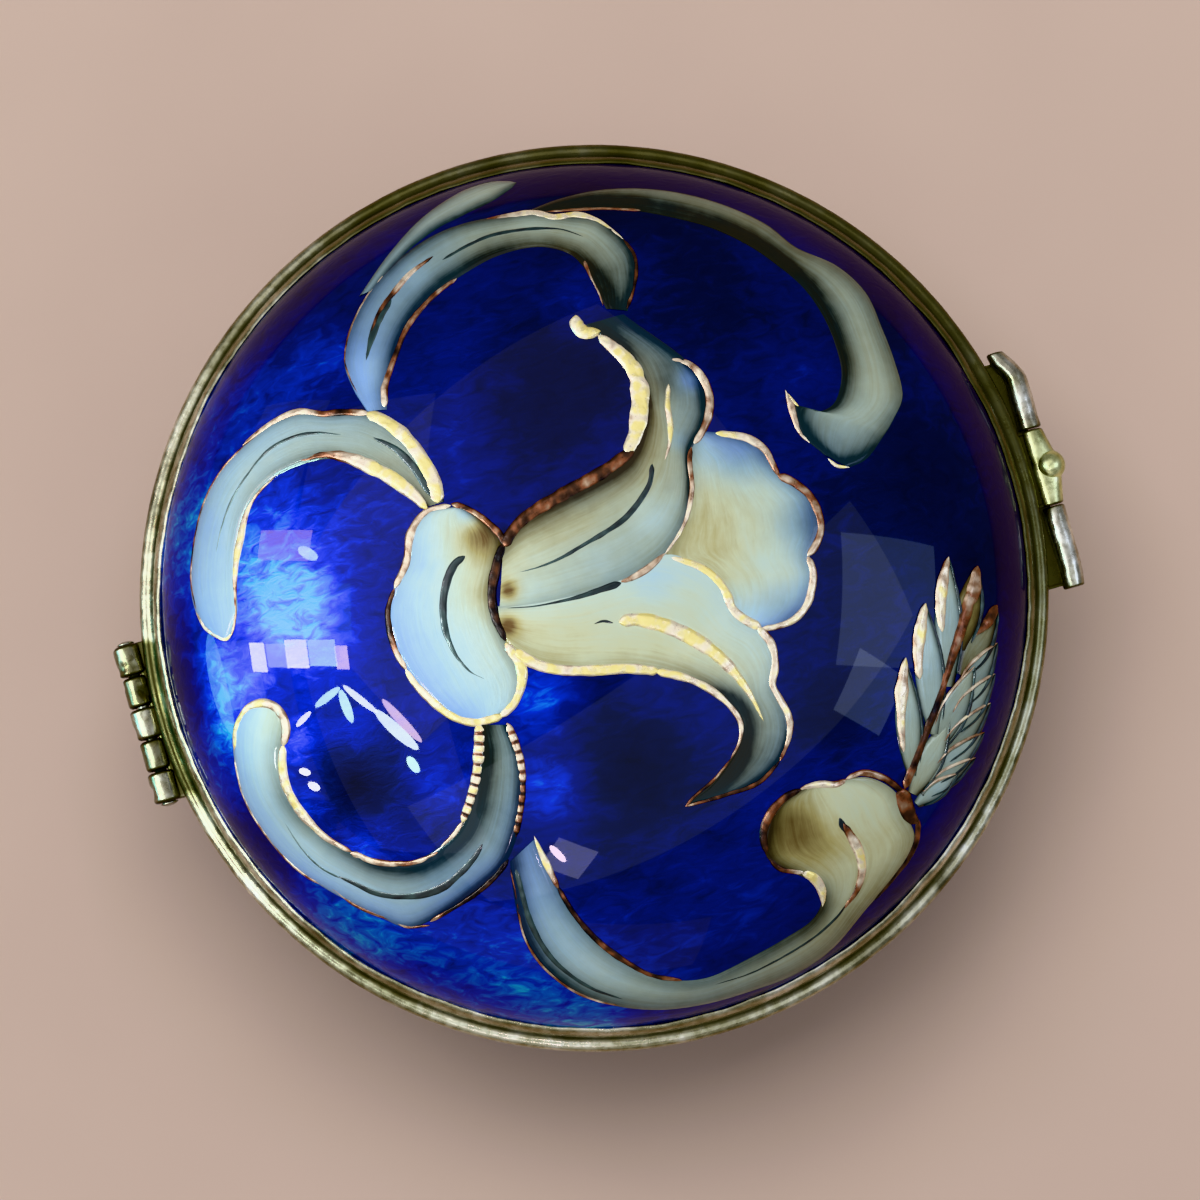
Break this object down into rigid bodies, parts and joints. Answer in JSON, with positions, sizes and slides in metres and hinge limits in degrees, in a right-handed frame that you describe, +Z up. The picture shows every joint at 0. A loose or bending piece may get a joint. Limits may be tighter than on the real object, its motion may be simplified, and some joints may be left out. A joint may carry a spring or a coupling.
{
  "type": "porcelain pill box",
  "caption": "Round domed pill box in cobalt porcelain with gilt metal mounts, a hinged lid and a thumbpiece with a round knob.",
  "frame": {"origin": "centre of the flat underside of the bowl", "axes": "+Z up through the closed lid, -Y towards the catch at the front, +Y towards the hinge at the back, +X to the right seen from the front"},
  "size_m": [0.0498, 0.0534, 0.0258],
  "materials": {
    "cobalt_glaze": "glossy transparent glaze",
    "gilt_mount": "gilt, polished, rubbed pale along the edges",
    "worn_gilt": "gilt worn to a silvery tone, fine scratches and dents"
  },
  "bodies": {
    "base": {"base_bowl": "cobalt_glaze", "base_mount": "gilt_mount", "catch_bar_left": "worn_gilt", "catch_bar_right": "worn_gilt", "hinge_pin": "worn_gilt", "base_knuckle_1": "worn_gilt", "base_knuckle_3": "worn_gilt", "base_knuckle_5": "worn_gilt"},
    "lid": {"lid_dome": "cobalt_glaze", "lid_mount": "gilt_mount", "thumbpiece": "gilt_mount", "lid_knuckle_2": "worn_gilt", "lid_knuckle_4": "worn_gilt"}
  },
  "joints": [
    {"name": "lid_hinge", "type": "hinge", "parent": "base", "child": "lid", "pos_m": [0, 0.02555, 0.01495], "axis": [-1, 0, 0], "range_deg": [0, 105]}
  ]
}
